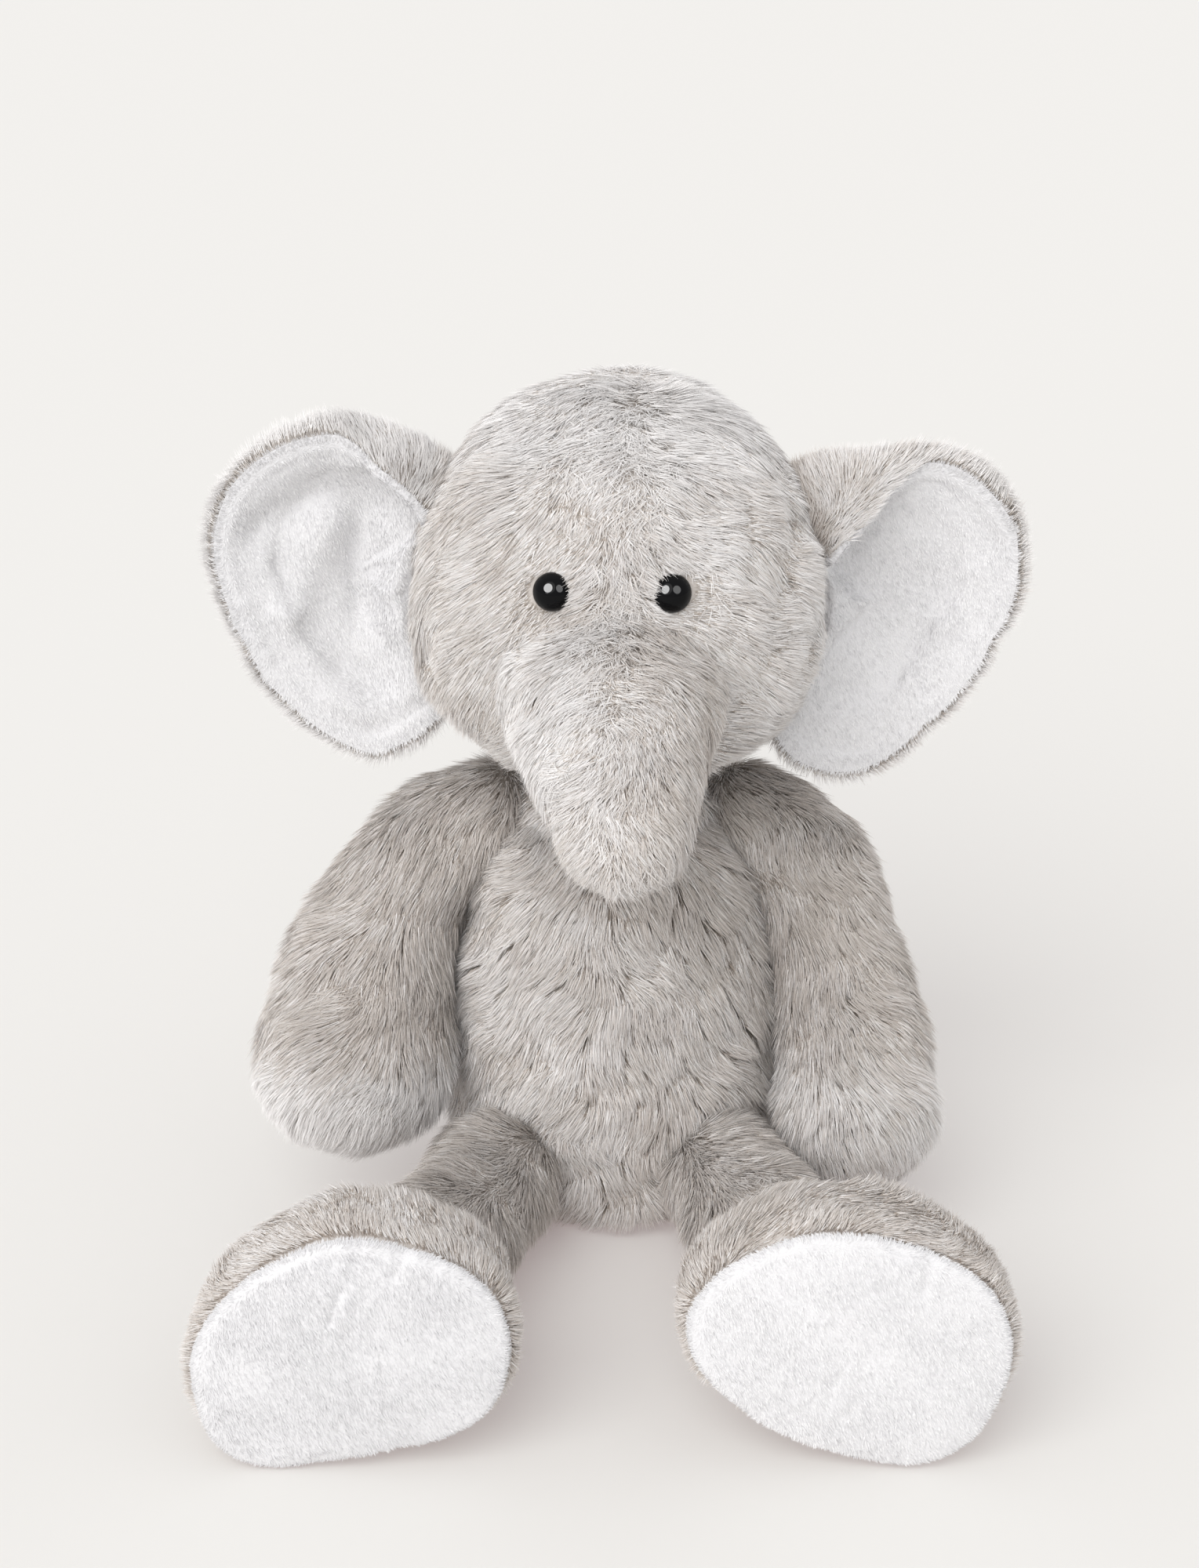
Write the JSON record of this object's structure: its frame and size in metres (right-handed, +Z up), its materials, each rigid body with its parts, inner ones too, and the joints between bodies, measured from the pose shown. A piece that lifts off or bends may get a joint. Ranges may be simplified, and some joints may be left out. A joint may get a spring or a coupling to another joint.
{
  "type": "stuffed elephant",
  "caption": "Seated stuffed elephant in long grey pile, with broad white-lined ears, a drooping trunk, limp arms and wide upright feet with white soles.",
  "frame": {"origin": "centre of the round seat panel, on the surface the toy sits on", "axes": "+Z up; the face and the soles look along -Y; +X is the viewer's right when facing the toy"},
  "size_m": [0.2554, 0.2555, 0.284],
  "materials": {
    "fur": "long soft pile, light warm grey",
    "ear_lining": "short white plush",
    "sole": "short white plush",
    "eye": "polished black",
    "washer": "moulded",
    "thread": "grey polyester thread",
    "filling": "white polyester fibre",
    "bean_pouch": "woven cotton, plain"
  },
  "bodies": {
    "torso": {"body_panel_left": "fur", "body_panel_right": "fur", "seat_panel": "fur", "body_stuffing": "filling", "seat_bean_pouch": "bean_pouch"},
    "neck": {"neck_stuffing": "filling", "neck_thread": "thread"},
    "head": {"head_panel_left": "fur", "head_panel_right": "fur", "head_stuffing": "filling", "eye_left": "eye", "eye_right": "eye", "eye_washer_left": "washer", "eye_washer_right": "washer", "trunk_root_panel_left": "fur", "trunk_root_panel_right": "fur", "trunk_root_stuffing": "filling"},
    "trunk": {"trunk_tip_panel_left": "fur", "trunk_tip_panel_right": "fur", "trunk_tip_stuffing": "filling"},
    "ear_left": {"ear_back_left": "fur", "ear_lining_left": "ear_lining"},
    "ear_right": {"ear_back_right": "fur", "ear_lining_right": "ear_lining"},
    "shoulder_left": {"shoulder_stuffing_left": "filling"},
    "arm_left": {"arm_front_panel_left": "fur", "arm_back_panel_left": "fur", "arm_stuffing_left": "filling"},
    "shoulder_right": {"shoulder_stuffing_right": "filling"},
    "arm_right": {"arm_front_panel_right": "fur", "arm_back_panel_right": "fur", "arm_stuffing_right": "filling"},
    "hip_left": {"hip_stuffing_left": "filling"},
    "leg_left": {"leg_sleeve_left": "fur", "leg_stuffing_left": "filling", "foot_upper_left": "fur", "foot_stuffing_left": "filling", "foot_bean_pouch_left": "bean_pouch", "sole_left": "sole"},
    "hip_right": {"hip_stuffing_right": "filling"},
    "leg_right": {"leg_sleeve_right": "fur", "leg_stuffing_right": "filling", "foot_upper_right": "fur", "foot_stuffing_right": "filling", "foot_bean_pouch_right": "bean_pouch", "sole_right": "sole"},
    "tail": {"tail_tube": "fur", "tail_tuft": "fur"}
  },
  "joints": [
    {"name": "neck_turn", "type": "hinge", "parent": "torso", "child": "neck", "pos_m": [0, 0, 0.15], "axis": [0, 0, 1], "range_deg": [-35, 35], "stiffness_Nm_per_rad": 0.6},
    {"name": "head_nod", "type": "hinge", "parent": "neck", "child": "head", "pos_m": [0, 0, 0.15], "axis": [1, 0, 0], "range_deg": [-18, 20], "stiffness_Nm_per_rad": 2},
    {"name": "trunk_bend", "type": "hinge", "parent": "head", "child": "trunk", "pos_m": [0, -0.094, 0.191], "axis": [1, 0, 0], "range_deg": [-25, 20], "stiffness_Nm_per_rad": 0.05},
    {"name": "ear_left_flap", "type": "hinge", "parent": "head", "child": "ear_left", "pos_m": [-0.066, -0.002, 0.21], "axis": [0, 0, 1], "range_deg": [-25, 30], "stiffness_Nm_per_rad": 0.03},
    {"name": "ear_right_flap", "type": "hinge", "parent": "head", "child": "ear_right", "pos_m": [0.066, -0.002, 0.21], "axis": [0, 0, -1], "range_deg": [-25, 30], "stiffness_Nm_per_rad": 0.03},
    {"name": "arm_left_swing", "type": "hinge", "parent": "torso", "child": "shoulder_left", "pos_m": [-0.0605, 0, 0.126], "axis": [-1, 0, 0], "range_deg": [-30, 70], "stiffness_Nm_per_rad": 0.15},
    {"name": "arm_left_raise", "type": "hinge", "parent": "shoulder_left", "child": "arm_left", "pos_m": [-0.0605, 0, 0.126], "axis": [0, 1, 0], "range_deg": [0, 50], "stiffness_Nm_per_rad": 0.15},
    {"name": "arm_right_swing", "type": "hinge", "parent": "torso", "child": "shoulder_right", "pos_m": [0.0605, 0, 0.126], "axis": [-1, 0, 0], "range_deg": [-30, 70], "stiffness_Nm_per_rad": 0.15},
    {"name": "arm_right_raise", "type": "hinge", "parent": "shoulder_right", "child": "arm_right", "pos_m": [0.0605, 0, 0.126], "axis": [0, -1, 0], "range_deg": [0, 50], "stiffness_Nm_per_rad": 0.15},
    {"name": "leg_left_spread", "type": "hinge", "parent": "torso", "child": "hip_left", "pos_m": [-0.037, -0.062, 0.023], "axis": [0, 0, -1], "range_deg": [-6, 25], "stiffness_Nm_per_rad": 0.2},
    {"name": "leg_left_lift", "type": "hinge", "parent": "hip_left", "child": "leg_left", "pos_m": [-0.037, -0.062, 0.023], "axis": [-1, 0, 0], "range_deg": [0, 30], "stiffness_Nm_per_rad": 0.15},
    {"name": "leg_right_spread", "type": "hinge", "parent": "torso", "child": "hip_right", "pos_m": [0.035, -0.063, 0.023], "axis": [0, 0, 1], "range_deg": [-6, 25], "stiffness_Nm_per_rad": 0.2},
    {"name": "leg_right_lift", "type": "hinge", "parent": "hip_right", "child": "leg_right", "pos_m": [0.035, -0.063, 0.023], "axis": [-1, 0, 0], "range_deg": [0, 30], "stiffness_Nm_per_rad": 0.15},
    {"name": "tail_wag", "type": "hinge", "parent": "torso", "child": "tail", "pos_m": [0, 0.058, 0.046], "axis": [0, 0, 1], "range_deg": [-35, 35], "stiffness_Nm_per_rad": 0.01}
  ]
}
